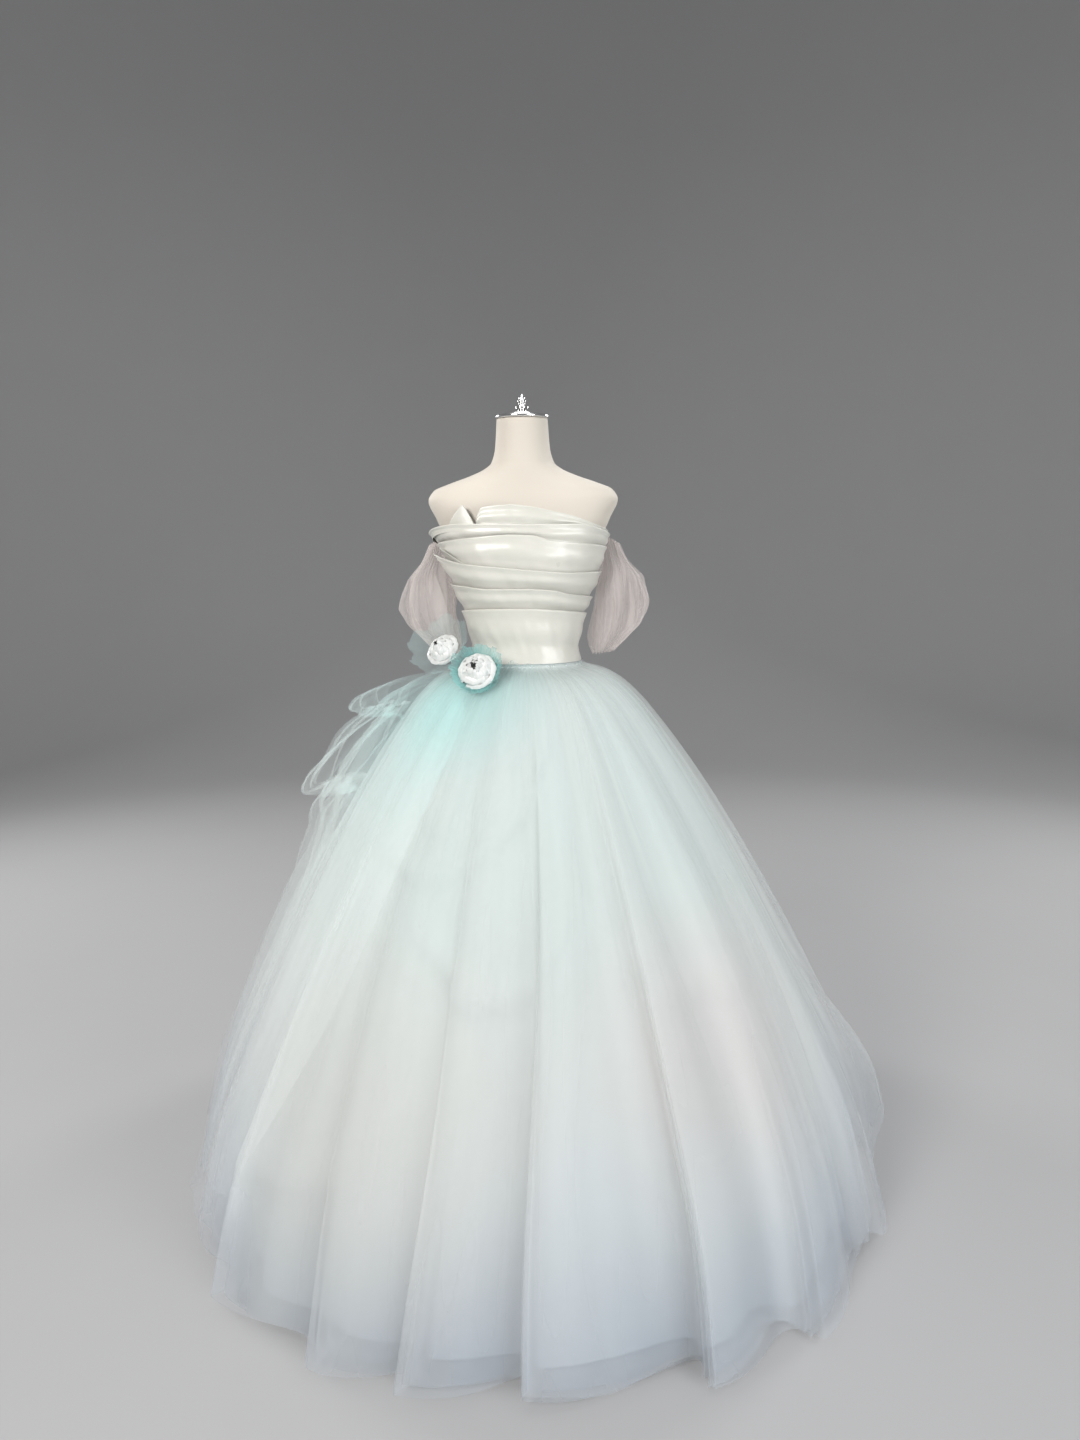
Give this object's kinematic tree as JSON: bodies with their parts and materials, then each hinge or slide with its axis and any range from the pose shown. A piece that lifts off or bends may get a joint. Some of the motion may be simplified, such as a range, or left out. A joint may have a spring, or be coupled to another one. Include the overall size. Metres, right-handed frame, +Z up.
{
  "type": "strapless ball gown on a limbless dress form with a stand",
  "caption": "Floor-length strapless ball gown with folded satin bodice, puff sleeves, layered tulle skirt, side drape and satin roses, standing on a limbless dress form",
  "frame": {"origin": "centre of the stand base's underside, on the floor", "axes": "+Z up, the gown's front faces -Y, and +X is the wearer's left; the roses and the drape are on the wearer's right, at -X"},
  "size_m": [1.4215, 1.5346, 1.5771],
  "materials": {
    "satin_white": "white duchess satin, soft gloss",
    "tulle_mint": "sheer mint tulle with a light sheen, shading to pale lavender at the hem",
    "tulle_pale": "sheer pale tulle",
    "tulle_blush": "sheer blush-grey tulle",
    "tulle_aqua": "aqua tulle",
    "lining_white": "opaque white lining, matt",
    "form_ivory": "ivory jersey cover, matt",
    "chrome": "polished"
  },
  "bodies": {
    "root": {"stand_base": "chrome", "stand_pole": "chrome", "form_neck_cap": "chrome", "form_finial": "chrome", "form_torso": "form_ivory", "bodice_front": "satin_white", "bodice_back_left": "satin_white", "bodice_back_right": "satin_white", "fold_band_1": "satin_white", "fold_band_2": "satin_white", "fold_band_3": "satin_white", "fold_band_4": "satin_white", "fold_band_5": "satin_white", "fold_band_6": "satin_white", "fold_peak": "satin_white", "sleeve_left": "tulle_blush", "sleeve_right": "tulle_blush", "tulle_outer_front": "tulle_mint", "tulle_outer_back": "tulle_mint", "tulle_inner_front": "tulle_pale", "tulle_inner_back": "tulle_pale", "underskirt_front": "lining_white", "underskirt_back": "lining_white", "side_drape": "tulle_mint", "rose_front": "satin_white", "rose_back": "satin_white", "rose_ruffle": "tulle_aqua", "rose_puff": "tulle_aqua"}
  },
  "joints": []
}
